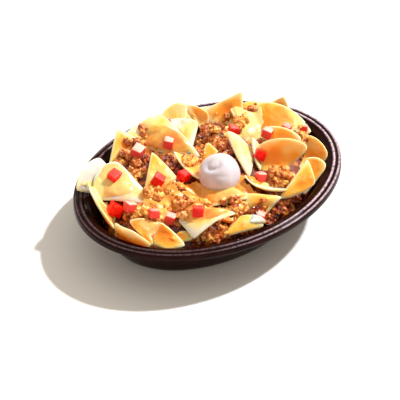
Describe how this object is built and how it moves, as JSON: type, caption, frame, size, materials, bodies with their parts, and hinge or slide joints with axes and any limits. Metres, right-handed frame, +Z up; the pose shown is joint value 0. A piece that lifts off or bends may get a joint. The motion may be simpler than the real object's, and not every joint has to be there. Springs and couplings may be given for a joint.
{
  "type": "loaded nachos in a take-out bowl",
  "caption": "Oval take-out bowl heaped with tortilla chips, seasoned ground beef, cheese sauce, diced tomato and a dollop of sour cream.",
  "frame": {"origin": "middle of the bowl's flat base, on the surface it stands on", "axes": "+X along the bowl's long axis, +Y across it, +Z up"},
  "size_m": [0.236, 0.181, 0.0699],
  "materials": {
    "bowl": "glossy dark brown formed plastic, nearly black",
    "chips": "dry fried corn, pale yellow with golden edges and small blisters",
    "cheese": "warm glossy cheese sauce, orange yellow",
    "beef": "seasoned ground beef, brown and moist",
    "tomato": "wet raw tomato, saturated red",
    "cream": "smooth soft sour cream, satin"
  },
  "bodies": {
    "root": {"bowl": "bowl", "heap": "chips", "sour_cream": "cream", "tomato_01": "tomato", "tomato_02": "tomato", "tomato_03": "tomato", "tomato_04": "tomato", "tomato_05": "tomato", "tomato_06": "tomato", "tomato_07": "tomato", "tomato_08": "tomato", "tomato_09": "tomato", "tomato_10": "tomato", "tomato_11": "tomato", "tomato_12": "tomato", "tomato_13": "tomato", "tomato_14": "tomato", "tomato_15": "tomato", "tomato_16": "tomato", "tomato_17": "tomato", "tomato_18": "tomato"}
  },
  "joints": []
}
